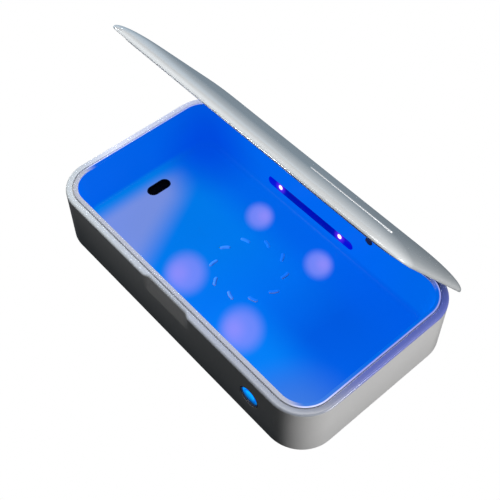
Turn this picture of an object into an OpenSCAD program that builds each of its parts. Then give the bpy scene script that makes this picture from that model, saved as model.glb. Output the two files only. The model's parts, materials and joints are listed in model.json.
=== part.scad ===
// Hinged UV light steriliser box with a crowned lid, a lit inner tray and a front push button.
// Frame: origin on the resting surface below the centre of the base, +Z up, -Y towards the
// front with the button and the finger notch. The lid is drawn open by lid_open degrees.

/* [Base] */
// Length of the base, along X
body_l = 228; // [200:1:250]
// Width of the base, along Y
body_w = 129; // [120:1:140]
// Height of the base casing, without the feet
body_h = 41.3; // [38:0.1:50]
// Corner radius of the base, seen from above
corner_r = 23.7; // [21:0.1:30]
// Thickness of the outer casing
wall = 2.2; // [1.8:0.1:2.4]
// Height of the casing above the resting surface
foot_rise = 0.8; // [0.5:0.1:1.5]

/* [Tray] */
// Distance from the casing's outline to the mouth of the tray
mouth_inset = 7.6; // [7.4:0.1:9]
// Height of the tray floor above the casing's lower edge
floor_h = 8; // [7.8:0.1:10]
// How far each tray wall leans in between the rim and the floor
lean = 3.4; // [2.5:0.1:4]
// Fillet between the tray floor and its walls
floor_fillet = 4; // [2:0.5:4]
// Number of swirl vanes in the ring on the floor
vane_count = 10; // [6:1:16]
// Radius of the ring of vanes
vane_ring_r = 23; // [18:0.5:28]

/* [Lights] */
// Length of each light window
window_l = 78; // [60:1:80]
// Height of each light window
window_h = 6.8; // [5:0.1:8]
// Distance between the two light diodes behind a window
led_pitch = 54.5; // [40:0.5:60]

/* [Button] */
// Distance of the push button from the centre, along X
button_x = 72.6; // [68:0.1:78]
// Height of the button's centre above the casing's lower edge
button_h = 22.5; // [20:0.1:24]
// Radius of the moving cap
cap_r = 4.6; // [4:0.1:4.7]

/* [Lid] */
// Angle by which the lid is drawn open
lid_open = 53; // [0:1:90]
// Width of the lid, along Y
lid_w = 126; // [124:0.5:126]
// Corner radius of the lid, seen from above
lid_r = 20; // [18:0.5:24]
// Height of the lid's crown above its rim
lid_h = 7; // [6.8:0.1:9]
// Distance from the lid's edge over which the crown rises
crown_run = 30; // [24:1:32]

/* [Hidden] */

// Rounding of the casing's upper and lower outer edges
top_round = 1.5;
bottom_round = 1.2;
// Rim: outer lip of the casing, open line, then the tray's flange
lip_w = 4;
line_w = 0.8;
flange_t = 2;
ledge_t = 1.5;
ledge_w = 5.7;
tray_t = 1.8;
floor_t = 2;
cover_t = 2;
fit_gap = 0.3;

z_base = foot_rise;
z_rim = z_base + body_h;
z_floor = z_base + floor_h;
z_cover = z_base + cover_t;
z_ledge = z_rim - flange_t;
draft = atan(lean / (body_h - floor_h));
half_w = body_w / 2;

// Finger notch in the front rim
notch_half = 21;
notch_ramp = 5;
notch_deep = 2;
notch_drop = 13;

// Hinge: axis along X, inside the rear rim
hinge_x = 70;
hinge_y = half_w - 2.4;
hinge_z = z_rim - 2.8;
pin_r = 1;
pin_l = 24;
knuckle_r = 2.3;
knuckle_l = 15.4;
pocket_l = 16;
pocket_gap = 0.3;
boss_end = 4.5;

// Lid
lid_gap = 0.5;
z_lid = z_rim + lid_gap;
lid_edge_t = 0.8;
lid_wall_w = 5.6;
lid_pocket_h = 2.8;
lid_core_inset = 12;
lid_core_h = 4.2;
plate_t = 1.4;
plug_deep = 1;
plug_w = 1.6;
plug_gap = 1;
seal_inset = 3.4;
seal_w = 1;
seal_stand = 0.2;
seal_h = 0.8;
inlay_l = 58;
inlay_w = 4;
inlay_x = 61.5;
inlay_y = -31;
inlay_deep = 0.5;
inlay_proud = 0.1;

// Light windows and boards behind the tray walls
window_x = -3.5;
window_z = z_base + 16.8;
window_sink = 0.4;
window_flange = 2;

// Lid sensor in the rear wall
sensor_x = 46;
sensor_z = z_base + 32.7;
sensor_r = 2.7;

// Aroma well in the floor
well_x = -91;
well_l = 18;
well_w = 9;
cup_t = 0.6;

// Button stack, measured inwards from the front face
button_z = z_base + button_h;
bezel_r = 7.4;
ring_r = 6.3;
cap_sink = 0.7;
cap_back = 3.2;
switch_front = 3.9;
board_front = 5.4;

// Charging socket in the rear wall
socket_x = -46;
socket_w = 8.9;
socket_h = 3.2;
socket_deep = 7.3;
socket_z = z_base + 5;

// Boards on the floor of the casing
main_l = 70;
main_w = 46;
main_x = 10;
main_t = 1;
z_main = z_cover + 0.8;

// Cover screws and the pillars that they enter
screw_x = 84;
screw_y = half_w - 5.5;
pillar_r = 2.9;
pillar_top = z_base + 11.2;
screw_r = 1.25;
head_r = 2.3;

foot_x = 90;
foot_y = 42;
foot_r = 6;
magnet_x = 34;
wire_r = 0.5;

$fn = 64;

// ---- helpers ----

// Rounded rectangle centred on the origin
module rounded(l, w, r) {
    square([l - 2 * r, w], center = true);
    square([l, w - 2 * r], center = true);
    for (sx = [-1, 1], sy = [-1, 1])
        translate([sx * (l / 2 - r), sy * (w / 2 - r)]) circle(r = r);
}

// Stadium of length l along X and height h
module stadium(l, h) {
    square([l - h, h], center = true);
    for (s = [-1, 1]) translate([s * (l - h) / 2, 0]) circle(r = h / 2);
}

// Plate with a rounded rectangular outline, from height z, t thick
module plate(l, w, r, z, t) {
    translate([0, 0, z]) linear_extrude(t) rounded(l, w, r);
}

// Carries a profile round a rounded rectangle. The profile's x is the distance outwards
// from the outline, so the material is at negative x, and its y is the height.
module around(l, w, r) {
    for (q = [0 : 3]) {
        sx = q == 0 || q == 3 ? 1 : -1;
        sy = q < 2 ? 1 : -1;
        translate([sx * (l / 2 - r), sy * (w / 2 - r), 0]) rotate([0, 0, 90 * q])
            rotate_extrude(angle = 90, $fn = 96) translate([r, 0]) children();
    }
    for (turn = [0, 180]) rotate([0, 0, turn]) {
        translate([-(l / 2 - r), 0, 0]) rotate([90, 0, 90])
            linear_extrude(l - 2 * r) translate([w / 2, 0]) children();
        translate([0, w / 2 - r, 0]) rotate([90, 0, 0])
            linear_extrude(w - 2 * r) translate([l / 2, 0]) children();
    }
}

// What is left outside a rounding of radius r, in the corner that points to (sx, sy)
module corner_cut(r, sx, sy) {
    difference() {
        translate([sx > 0 ? -r : -1, sy > 0 ? -r : -1]) square(r + 1);
        translate([-sx * r, -sy * r]) circle(r = r);
    }
}

// Half width of the tray's inside at height z, on the long sides
function tray_y(z) = half_w - mouth_inset - (z_rim - z) * tan(draft);

// Local frame on a long tray wall: y points into the wall and z up along it
module on_tray_wall(side, x, z) {
    mirror([0, side < 0 ? 1 : 0, 0])
        translate([x, tray_y(z), z]) rotate([-draft, 0, 0]) children();
}

// Local frame on the front face at the button: z points into the casing
module at_button() {
    translate([button_x, -half_w, button_z]) rotate([-90, 0, 0]) children();
}

// Bar with round ends, l by h, its thickness from y = from to y = to
module stadium_y(l, h, from, to) {
    translate([0, to, 0]) rotate([90, 0, 0]) linear_extrude(to - from) stadium(l, h);
}

// Cylinder along Y from y = from to y = to
module disc_y(r, from, to) {
    translate([0, to, 0]) rotate([90, 0, 0]) cylinder(r = r, h = to - from);
}

// Cylinder along X, centred on the origin
module disc_x(r, l) {
    rotate([0, 90, 0]) cylinder(r = r, h = l, center = true);
}

// Washer from height a to height b
module washer(outer, inner, a, b) {
    translate([0, 0, a]) difference() {
        cylinder(r = outer, h = b - a);
        translate([0, 0, -1]) cylinder(r = inner, h = b - a + 2);
    }
}

// Wire through points that differ along one axis at a time
module wire(points) {
    for (i = [0 : len(points) - 2]) {
        step = points[i + 1] - points[i];
        turn = step.x != 0 ? [0, step.x > 0 ? 90 : -90, 0]
            : step.y != 0 ? [step.y > 0 ? -90 : 90, 0, 0] : [step.z > 0 ? 0 : 180, 0, 0];
        translate(points[i]) rotate(turn) cylinder(r = wire_r, h = norm(step), $fn = 24);
        if (i > 0) translate(points[i]) sphere(r = wire_r, $fn = 24);
    }
}

// Swings the lid's parts from closed to lid_open
module lid_pose() {
    translate([0, hinge_y, hinge_z]) rotate([-lid_open, 0, 0])
        translate([0, -hinge_y, -hinge_z]) children();
}

// ---- base ----

module casing_profile() {
    difference() {
        union() {
            translate([-wall, z_base]) square([wall, body_h]);
            translate([-lip_w, z_ledge - ledge_t]) square([lip_w, flange_t + ledge_t]);
            translate([-ledge_w, z_ledge - ledge_t]) square([ledge_w, ledge_t]);
        }
        translate([0, z_rim]) corner_cut(top_round, 1, 1);
        translate([0, z_base]) corner_cut(bottom_round, 1, -1);
    }
}

module finger_notch() {
    ramp = atan(notch_ramp / notch_deep);
    intersection() {
        translate([0, notch_deep - half_w, z_rim]) rotate([-atan(notch_deep / notch_drop), 0, 0])
            translate([-30, -10, -20]) cube([60, 10, 30]);
        translate([notch_half, -half_w, 0]) rotate([0, 0, ramp])
            translate([-80, -40, 0]) cube([80, 80, 60]);
        translate([-notch_half, -half_w, 0]) rotate([0, 0, -ramp])
            translate([0, -40, 0]) cube([80, 80, 60]);
    }
}

module hinge_boss() {
    l = pocket_l + 2 * boss_end;
    translate([-l / 2, hinge_y - 3.2, hinge_z - 4]) cube([l, 3.4, 3.4]);
}

module hinge_pocket() {
    r = knuckle_r + pocket_gap;
    translate([-pocket_l / 2, hinge_y - r, hinge_z - r]) cube([pocket_l, 10, 10]);
    translate([0, hinge_y, hinge_z]) disc_x(pin_r + 0.02, pin_l);
}

module base_shell() color("white") {
    difference() {
        union() {
            around(body_l, body_w, corner_r) casing_profile();
            for (s = [-1, 1]) translate([s * hinge_x, 0, 0]) hinge_boss();
            for (sx = [-1, 1], sy = [-1, 1]) {
                translate([sx * screw_x, sy * screw_y, z_cover])
                    cylinder(r = pillar_r, h = pillar_top - z_cover);
                translate([sx * screw_x - 1.5, sy > 0 ? screw_y : -half_w + 1, z_cover])
                    cube([3, half_w - 1 - screw_y, pillar_top - z_cover]);
            }
        }
        finger_notch();
        for (s = [-1, 1]) translate([s * hinge_x, 0, 0]) hinge_pocket();
        for (sx = [-1, 1], sy = [-1, 1])
            translate([sx * screw_x, sy * screw_y, z_cover - 1]) cylinder(r = screw_r + 0.05, h = 8);
        at_button() translate([0, 0, -1]) cylinder(r = bezel_r + 0.1, h = 5);
        translate([socket_x, 0, socket_z]) stadium_y(socket_w + 0.8, socket_h + 0.7, half_w - 4, half_w + 1);
    }
}

module bottom_cover() color("gainsboro") {
    inset = wall + fit_gap;
    difference() {
        union() {
            plate(body_l - 2 * inset, body_w - 2 * inset, corner_r - inset, z_base, cover_t);
            for (sx = [-1, 1], sy = [-1, 1])
                translate([main_x + sx * (main_l / 2 - 4), sy * (main_w / 2 - 4), z_cover - 0.1])
                    cylinder(r = 2, h = 0.9);
            for (sx = [-1, 1])
                translate([socket_x + sx * 4.5, half_w - 9, z_cover - 0.1]) cylinder(r = 1.2, h = 0.7);
        }
        for (sx = [-1, 1], sy = [-1, 1]) {
            translate([sx * screw_x, sy * screw_y, 0]) cylinder(r = screw_r + 0.25, h = 6);
            translate([sx * screw_x, sy * screw_y, 0]) cylinder(r = head_r + 0.2, h = z_base + 1.1);
            translate([sx * foot_x, sy * foot_y, 0]) cylinder(r = foot_r + 0.1, h = z_base + 0.6);
        }
    }
}

module tray_profile() {
    in_top = -mouth_inset;
    in_floor = -mouth_inset - lean;
    out_top = in_top - flange_t * tan(draft) + tray_t;
    out_low = in_floor + 0.8 * tan(draft) + tray_t;
    fillet_u = in_floor + floor_fillet * tan(draft) - floor_fillet / cos(draft);
    fillet_z = z_floor + floor_fillet;
    steps = 8;
    fillet = [for (k = [0 : steps]) let (a = -draft - (90 - draft) * k / steps)
        [fillet_u + floor_fillet * cos(a), fillet_z + floor_fillet * sin(a)]];
    polygon(concat([[-lip_w - line_w, z_rim], [in_top, z_rim]], fillet,
        [[fillet_u - 0.4, z_floor], [fillet_u - 0.4, z_floor - floor_t], [out_low - 3, z_floor - floor_t],
        [out_low, z_floor + 0.8], [out_top, z_ledge], [-lip_w - line_w, z_ledge]]));
}

// One curved vane, standing on the floor
module vane() {
    bend = 11;
    span = 40;
    translate([-bend, 0, z_floor - 0.2]) rotate([0, 0, -span / 2])
        rotate_extrude(angle = span) translate([bend - 0.9, 0]) square([1.8, 1]);
}

module inner_tray() color("white") {
    core = mouth_inset + lean + 2;
    difference() {
        union() {
            around(body_l, body_w, corner_r) tray_profile();
            plate(body_l - 2 * core, body_w - 2 * core, corner_r - core, z_floor - floor_t, floor_t);
            for (i = [0 : vane_count - 1]) rotate([0, 0, i * 360 / vane_count])
                translate([vane_ring_r, 0, 0]) rotate([0, 0, -35]) vane();
        }
        for (side = [-1, 1]) on_tray_wall(side, window_x, window_z)
            stadium_y(window_l + 0.6, window_h + 0.6, -2, 4);
        on_tray_wall(1, sensor_x, sensor_z) disc_y(sensor_r + 0.15, -2, 4);
        translate([well_x, 0, z_floor - 4]) rotate([0, 0, 90]) linear_extrude(8) stadium(well_l, well_w);
    }
}

module light_window(side) {
    on_tray_wall(side, window_x, window_z) {
        stadium_y(window_l, window_h, window_sink, tray_t + 0.1);
        stadium_y(window_l + 5, window_h + 3.4, tray_t + 0.05, tray_t + 0.8);
    }
}

module light_board(side) {
    on_tray_wall(side, window_x, window_z)
        translate([-window_l / 2 - 3, 3.5, -4.5]) cube([window_l + 6, 1, 9]);
}

module light_diodes(side) {
    on_tray_wall(side, window_x, window_z)
        for (s = [-1, 1]) translate([s * led_pitch / 2 - 1.75, 2.7, -1.4]) cube([3.5, 0.8, 2.8]);
}

module rear_light_window() color("mediumblue") light_window(1);
module front_light_window() color("mediumblue") light_window(-1);
module rear_light_board() color("darkgreen") light_board(1);
module front_light_board() color("darkgreen") light_board(-1);
module rear_light_diodes() color("violet") light_diodes(1);
module front_light_diodes() color("violet") light_diodes(-1);

module aroma_cup() color("black") {
    outer_l = well_l - 0.4;
    outer_w = well_w - 0.4;
    translate([well_x, 0, 0]) rotate([0, 0, 90]) difference() {
        union() {
            translate([0, 0, z_cover + 0.4]) linear_extrude(z_floor - z_cover - 0.7) stadium(outer_l, outer_w);
            translate([0, 0, z_floor - floor_t - 0.85]) linear_extrude(0.8) stadium(well_l + 4, well_w + 4);
        }
        translate([0, 0, z_cover + 1]) linear_extrude(10) stadium(outer_l - 2 * cup_t, outer_w - 2 * cup_t);
    }
}

module aroma_pad() color("dimgray") {
    translate([well_x, 0, z_cover + 1]) rotate([0, 0, 90])
        linear_extrude(3) stadium(well_l - 0.4 - 2 * cup_t - 0.2, well_w - 0.4 - 2 * cup_t - 0.2);
}

module lid_sensor_lens() color("black") {
    on_tray_wall(1, sensor_x, sensor_z) {
        disc_y(sensor_r, 0.3, 2);
        disc_y(sensor_r + 0.8, 1.9, 2.5);
    }
}

module lid_sensor_board() color("darkgreen") {
    on_tray_wall(1, sensor_x, sensor_z) translate([-5, 2.6, -4]) cube([10, 1, 8]);
}

module main_board() color("darkgreen") {
    translate([main_x - main_l / 2, -main_w / 2, z_main]) cube([main_l, main_w, main_t]);
}

module board_components() color("dimgray") {
    z = z_main + main_t;
    translate([main_x - 5, -5, z]) cube([10, 10, 1.2]);
    translate([main_x - 24, -14, z]) cube([7, 6, 1.4]);
    for (s = [-1, 1]) {
        translate([main_x - 5, s * (main_w / 2 - 3.5) - 2, z]) cube([10, 4, 1.4]);
        translate([main_x + main_l / 2 - 4, s * 10 - 3, z]) cube([3.5, 6, 1.4]);
    }
    for (i = [0 : 3]) translate([main_x + 14, -9 + 6 * i, z]) cylinder(r = 1.8, h = 1.3);
    for (i = [0 : 5]) translate([main_x - 26 + 3 * i, 10, z]) cube([1.6, 0.9, 0.6]);
}

module charge_board() color("darkgreen") {
    translate([socket_x - 7, half_w - 13, socket_z - socket_h / 2 - 0.8]) cube([14, 12.8 - wall, 0.8]);
}

module charge_socket() color("silver") {
    outer = half_w - 0.5;
    translate([socket_x, 0, socket_z]) {
        difference() {
            stadium_y(socket_w, socket_h, outer - socket_deep, outer);
            stadium_y(socket_w - 0.6, socket_h - 0.6, outer - socket_deep + 0.8, outer + 1);
        }
        translate([-3.3, outer - socket_deep + 0.4, -0.35]) cube([6.6, socket_deep - 1.2, 0.7]);
    }
}

module button_bezel() color("silver") {
    at_button() {
        washer(bezel_r, ring_r + 0.1, 0.1, 2.9);
        washer(bezel_r + 1.2, ring_r + 0.1, wall + 0.05, 2.9);
    }
}

module button_light_ring() color("deepskyblue") {
    at_button() washer(ring_r, cap_r + 0.1, 0.9, 2.6);
}

module power_button() color("dodgerblue") {
    at_button() {
        translate([0, 0, cap_sink]) cylinder(r = cap_r, h = cap_back - cap_sink);
        translate([0, 0, cap_back - 0.45]) cylinder(r = cap_r + 0.9, h = 0.45);
    }
}

module button_switch() color("dimgray") {
    at_button() {
        translate([0, 0, switch_front]) cylinder(r = 1.5, h = 0.6);
        translate([-3, -3, switch_front + 0.4]) cube([6, 6, board_front - switch_front - 0.4]);
    }
}

module button_board() color("darkgreen") {
    at_button() translate([-9, -5, board_front]) cube([18, 10, 0.8]);
}

module cover_screws() color("silver") {
    for (sx = [-1, 1], sy = [-1, 1]) translate([sx * screw_x, sy * screw_y, 0]) difference() {
        union() {
            translate([0, 0, z_base + 1.1]) cylinder(r = screw_r, h = 6);
            translate([0, 0, z_base + 0.2]) cylinder(r = head_r, h = 0.9);
        }
        for (turn = [0, 90]) rotate([0, 0, turn])
            translate([-1.3, -0.25, z_base]) cube([2.6, 0.5, 0.6]);
    }
}

module rubber_feet() color("dimgray") {
    for (sx = [-1, 1], sy = [-1, 1])
        translate([sx * foot_x, sy * foot_y, 0]) cylinder(r = foot_r, h = z_base + 0.6);
}

module base_magnets() color("silver") {
    for (s = [-1, 1])
        translate([s * magnet_x - 6, wall + 0.1 - half_w, z_ledge - ledge_t - 3]) cube([12, 2.8, 3]);
}

module hinge_pins() color("silver") {
    for (s = [-1, 1]) translate([s * hinge_x, hinge_y, hinge_z]) disc_x(pin_r, pin_l - 0.4);
}

module wiring() color("firebrick") {
    z = z_main + 1.6;
    edge = half_w - 5.2;
    for (s = [-1, 1])
        wire([[-32, s * edge, window_z - 3], [-32, s * edge, z], [-32, s * 12, z], [-25.6, s * 12, z]]);
    wire([[66, 1 - edge, button_z - 6], [66, 1 - edge, z], [66, -10, z], [45, -10, z]]);
    wire([[52, edge, sensor_z - 6], [52, edge, z], [52, 10, z], [45, 10, z]]);
    wire([[socket_x, half_w - 14, z - 1], [socket_x, 0, z - 1], [-25.6, 0, z - 1]]);
}

// ---- lid, drawn closed and then swung open ----

module lid_crown() {
    layers = 12;
    hull() {
        plate(body_l, lid_w, lid_r, z_lid, lid_edge_t, $fn = 48);
        for (k = [1 : layers]) {
            s = crown_run * (1 - cos(90 * k / layers));
            z = z_lid + lid_edge_t + (lid_h - lid_edge_t) * sin(90 * k / layers);
            plate(body_l - 2 * s, lid_w - 2 * s, lid_r - 0.4 * s, z - 0.01, 0.01, $fn = 48);
        }
    }
}

module lid_shell() color("white") lid_pose() {
    difference() {
        union() {
            difference() {
                lid_crown();
                plate(body_l - 2 * lid_wall_w, lid_w - 2 * lid_wall_w, lid_r - lid_wall_w, z_lid - 1,
                    lid_pocket_h + 1);
                plate(body_l - 2 * lid_core_inset, lid_w - 2 * lid_core_inset, lid_r - lid_core_inset,
                    z_lid, lid_core_h);
            }
            for (s = [-1, 1]) translate([s * hinge_x, hinge_y, hinge_z]) {
                disc_x(knuckle_r, knuckle_l);
                translate([-knuckle_l / 2, -knuckle_r, 0]) cube([knuckle_l, 3.2, z_lid - hinge_z + 0.3]);
            }
        }
        around(body_l, lid_w, lid_r) translate([-seal_inset - seal_w - 0.05, z_lid - 1])
            square([seal_w + 0.1, seal_h - seal_stand + 1.05]);
        for (s = [-1, 1]) translate([s * hinge_x, hinge_y, hinge_z]) disc_x(pin_r + 0.05, knuckle_l + 2);
        translate([inlay_x, inlay_y, z_lid + lid_h - inlay_deep])
            linear_extrude(2) stadium(inlay_l + 0.1, inlay_w + 0.1);
    }
}

module lid_plate() color("whitesmoke") lid_pose() {
    inset = lid_wall_w + fit_gap;
    plug = mouth_inset + plug_gap;
    plate(body_l - 2 * inset, lid_w - 2 * inset, lid_r - inset, z_lid, plate_t);
    around(body_l - 2 * plug, body_w - 2 * plug, corner_r - plug)
        translate([-plug_w, z_lid - plug_deep]) square([plug_w, plug_deep + 0.5]);
}

module lid_seal() color("lightgray") lid_pose() {
    around(body_l, lid_w, lid_r)
        translate([-seal_inset - seal_w, z_lid - seal_stand]) square([seal_w, seal_h]);
}

module lid_magnets() color("silver") lid_pose() {
    for (s = [-1, 1])
        translate([s * magnet_x - 6, -lid_w / 2 + 6.5, z_lid + plate_t]) cube([12, 2.8, 1.2]);
}

module lid_inlay() color("silver") lid_pose() {
    translate([inlay_x, inlay_y, z_lid + lid_h - inlay_deep])
        linear_extrude(inlay_deep + inlay_proud) stadium(inlay_l, inlay_w);
}

base_shell();
bottom_cover();
inner_tray();
rear_light_window();
front_light_window();
rear_light_board();
front_light_board();
rear_light_diodes();
front_light_diodes();
aroma_cup();
aroma_pad();
lid_sensor_lens();
lid_sensor_board();
main_board();
board_components();
charge_board();
charge_socket();
button_bezel();
button_light_ring();
power_button();
button_switch();
button_board();
cover_screws();
rubber_feet();
base_magnets();
hinge_pins();
wiring();
lid_shell();
lid_plate();
lid_seal();
lid_magnets();
lid_inlay();
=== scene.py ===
import json
import math

import bmesh
import bpy
from mathutils import Matrix, Vector


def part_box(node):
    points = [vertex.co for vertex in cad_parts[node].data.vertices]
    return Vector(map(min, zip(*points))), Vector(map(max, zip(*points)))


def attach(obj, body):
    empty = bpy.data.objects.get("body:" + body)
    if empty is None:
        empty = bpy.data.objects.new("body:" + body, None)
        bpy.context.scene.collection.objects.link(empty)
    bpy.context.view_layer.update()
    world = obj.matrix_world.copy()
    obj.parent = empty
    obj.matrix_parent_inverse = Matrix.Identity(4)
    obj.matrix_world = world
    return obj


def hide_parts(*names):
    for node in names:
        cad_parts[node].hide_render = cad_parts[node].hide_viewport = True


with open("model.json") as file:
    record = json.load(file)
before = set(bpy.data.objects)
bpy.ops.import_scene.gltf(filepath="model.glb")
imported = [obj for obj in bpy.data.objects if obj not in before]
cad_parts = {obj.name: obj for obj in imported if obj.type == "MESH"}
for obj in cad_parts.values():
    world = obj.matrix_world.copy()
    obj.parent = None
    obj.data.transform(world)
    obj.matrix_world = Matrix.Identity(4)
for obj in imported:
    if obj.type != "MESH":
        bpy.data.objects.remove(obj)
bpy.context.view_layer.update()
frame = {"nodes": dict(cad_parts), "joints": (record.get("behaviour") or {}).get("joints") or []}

# ---- places, some taken from the frame ----

MM = 0.001
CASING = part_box("base_shell")
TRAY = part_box("inner_tray")
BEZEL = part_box("button_bezel")
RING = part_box("button_light_ring")
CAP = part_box("power_button")
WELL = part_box("aroma_cup")
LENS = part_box("lid_sensor_lens")
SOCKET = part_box("charge_socket")
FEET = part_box("rubber_feet")
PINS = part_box("hinge_pins")
REAR_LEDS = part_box("rear_light_diodes")
BODY_L = CASING[1].x - CASING[0].x
BODY_W = CASING[1].y - CASING[0].y
Z_BASE = CASING[0].z
Z_RIM = CASING[1].z
Z_FLOOR = TRAY[0].z + 2 * MM        # the floor plate is 2 mm thick
BODY_R = 23.7 * MM
LEDGE_DROP = 2 * MM                 # the tray's flange lies on the ledge this far below the rim
LID_HINGE = next(j for j in frame["joints"] if j["name"] == "lid_hinge")
HINGE = Vector(LID_HINGE["pos_m"])
LID_OPEN = math.radians(-LID_HINGE["range_deg"][0])
PIN_L = 23.6 * MM
HINGE_X = PINS[1].x - PIN_L / 2     # the two hinges stand at this distance from the middle
LID_L, LID_W, LID_R = 228 * MM, 126 * MM, 20 * MM
Z_LID = Z_RIM + 0.5 * MM            # the closed lid stands half a millimetre above the rim
LID_EDGE, LID_H, CROWN_RUN = 0.8 * MM, 7 * MM, 30 * MM
MOUTH_INSET, LEAN, FILLET = 7.6 * MM, 3.4 * MM, 4 * MM
TAN_DRAFT = LEAN / (Z_RIM - Z_FLOOR)
DRAFT = math.atan(TAN_DRAFT)
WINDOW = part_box("rear_light_window")
WINDOW_X, WINDOW_Z = (WINDOW[0].x + WINDOW[1].x) / 2, Z_BASE + 16.8 * MM
WINDOW_L, WINDOW_H = 78 * MM, 6.8 * MM
DIODE_L = 3.5 * MM
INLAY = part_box("lid_inlay")
INLAY_X, INLAY_Y = (INLAY[0].x + INLAY[1].x) / 2, -31 * MM
INLAY_L, INLAY_W = INLAY[1].x - INLAY[0].x, 4 * MM
SEAL_INSET = 3.9 * MM
GAP = 0.1 * MM                      # round the button's parts
BEZEL_FLANGE, CAP_FLANGE = 1.2 * MM, 0.9 * MM
LENS_HOLE_R = 2.85 * MM
WELL_L, WELL_W, WELL_DEEP = 18 * MM, 9 * MM, 9 * MM
SLOT_PLAY = 0.6 * MM                # a light slot is this much larger than its cover


# ---- mesh helpers ----

def new_object(name, bm, smooth_angle=30):
    """Makes an object from a bmesh, with edges sharper than smooth_angle kept crisp."""
    bmesh.ops.recalc_face_normals(bm, faces=bm.faces)
    mesh = bpy.data.meshes.new(name)
    bm.to_mesh(mesh)
    bm.free()
    ob = bpy.data.objects.new(name, mesh)
    bpy.context.scene.collection.objects.link(ob)
    crisp(ob, smooth_angle)
    return ob


def crisp(ob, angle=30):
    """Smooth shading, with edges sharper than the angle kept sharp."""
    for p in ob.data.polygons:
        p.use_smooth = True
    ob.data.set_sharp_from_angle(angle=math.radians(angle))


def outline(l, w, r, arc=16, step=4 * MM, front_step=None):
    """Points of a rounded rectangle, anticlockwise from +X: (x, y, normal x, normal y)."""
    points = []
    for q, (sx, sy) in enumerate(((1, 1), (-1, 1), (-1, -1), (1, -1))):
        cx, cy = sx * (l / 2 - r), sy * (w / 2 - r)
        for k in range(arc + 1):
            a = math.radians(90 * (q + k / arc))
            n = Vector((math.cos(a), math.sin(a)))
            points.append((cx + r * n.x, cy + r * n.y, n.x, n.y))
        nx, ny = ((-1, 1), (-1, -1), (1, -1), (1, 1))[q]
        start = points[-1]
        end_x = nx * (l / 2 - r) if q in (0, 2) else start[0]
        end_y = ny * (w / 2 - r) if q in (1, 3) else start[1]
        length = abs(end_x - start[0]) + abs(end_y - start[1])
        pitch = front_step if front_step and q == 2 else step
        count = max(2, round(length / pitch))
        for k in range(1, count):
            t = k / count
            points.append((start[0] + (end_x - start[0]) * t, start[1] + (end_y - start[1]) * t,
                           start[2], start[3]))
    return points


def sweep(path, profile, closed=True):
    """Carries a profile of (outward, height) points along a closed outline."""
    bm = bmesh.new()
    rings = [[bm.verts.new((x + nx * u, y + ny * u, z)) for u, z in profile]
             for x, y, nx, ny in path]
    count = len(profile)
    last = count if closed else count - 1
    for i, ring in enumerate(rings):
        other = rings[(i + 1) % len(rings)]
        for k in range(last):
            m = (k + 1) % count
            bm.faces.new((ring[k], other[k], other[m], ring[m]))
    return bm, rings


def fillet(cx, cz, r, start, end, steps=5):
    """Arc points in a profile round a centre, angles in degrees."""
    return [(cx + r * math.cos(math.radians(start + (end - start) * k / steps)),
             cz + r * math.sin(math.radians(start + (end - start) * k / steps)))
            for k in range(steps + 1)]


def bar(name, l, h, depth, edge=0.3 * MM, arc=12):
    """Stadium along X, h high along Z, from y = 0 to y = depth, with rounded front edges."""
    bm = bmesh.new()
    ring = []
    for s, start in ((1, -90), (-1, 90)):
        for k in range(arc + 1):
            a = math.radians(start + 180 * k / arc)
            ring.append((s * (l - h) / 2, 0, math.cos(a), math.sin(a)))
    levels = fillet(h / 2 - edge, edge, edge, -90, 0, 3) + [(h / 2, depth)]
    rows = [[bm.verts.new((x + r * c, y, r * s)) for x, _, c, s in ring] for r, y in levels]
    for a, b in zip(rows, rows[1:]):
        for k in range(len(ring)):
            m = (k + 1) % len(ring)
            bm.faces.new((a[k], a[m], b[m], b[k]))
    bm.faces.new(rows[0])
    bm.faces.new(list(reversed(rows[-1])))
    return new_object(name, bm)


def turned(name, profile, turns=64, smooth_angle=35):
    """Solid of revolution about Z from a closed loop of (radius, height) points."""
    bm = bmesh.new()
    rings = []
    for k in range(turns):
        a = 2 * math.pi * k / turns
        rings.append([bm.verts.new((r * math.cos(a), r * math.sin(a), z)) for r, z in profile])
    for k in range(turns):
        a, b = rings[k], rings[(k + 1) % turns]
        for i in range(len(profile)):
            j = (i + 1) % len(profile)
            bm.faces.new((a[i], b[i], b[j], a[j]))
    bmesh.ops.remove_doubles(bm, verts=bm.verts, dist=1e-6)
    return new_object(name, bm, smooth_angle)


def place(ob, matrix):
    """Moves an object's mesh by a matrix, leaving the object at the origin."""
    ob.data.transform(matrix)
    ob.data.update()
    return ob


def cut(ob, cutter):
    """Takes the cutter out of the object."""
    apply_boolean(ob, cutter, "DIFFERENCE")


def apply_boolean(ob, other, operation):
    """Joins, or cuts, the other object with this one and deletes it."""
    mod = ob.modifiers.new("boolean", "BOOLEAN")
    mod.object = other
    mod.operation = operation
    mod.solver = "EXACT"
    bake_modifiers(ob)
    bpy.data.objects.remove(other)


def bake_modifiers(ob):
    """Replaces the object's mesh by what its modifiers make of it."""
    bpy.context.view_layer.update()
    done = bpy.data.meshes.new_from_object(ob.evaluated_get(bpy.context.evaluated_depsgraph_get()))
    ob.modifiers.clear()
    ob.data = done


def block(name, low, high):
    """Box between two corners, only cut out of other pieces or joined into them."""
    bm = bmesh.new()
    bmesh.ops.create_cube(bm, size=1)
    size = [high[i] - low[i] for i in range(3)]
    centre = [(high[i] + low[i]) / 2 for i in range(3)]
    bmesh.ops.scale(bm, vec=size, verts=bm.verts)
    bmesh.ops.translate(bm, vec=centre, verts=bm.verts)
    return new_object(name, bm)


def on_tray_wall(side, x, z):
    """Matrix of a local frame on a long tray wall: y into the wall, z up along it."""
    y = BODY_W / 2 - MOUTH_INSET - (Z_RIM - z) * TAN_DRAFT
    flip = Matrix.Scale(-1, 4, (0, 1, 0)) if side < 0 else Matrix.Identity(4)
    return flip @ Matrix.Translation((x, y, z)) @ Matrix.Rotation(-DRAFT, 4, "X")


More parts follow.
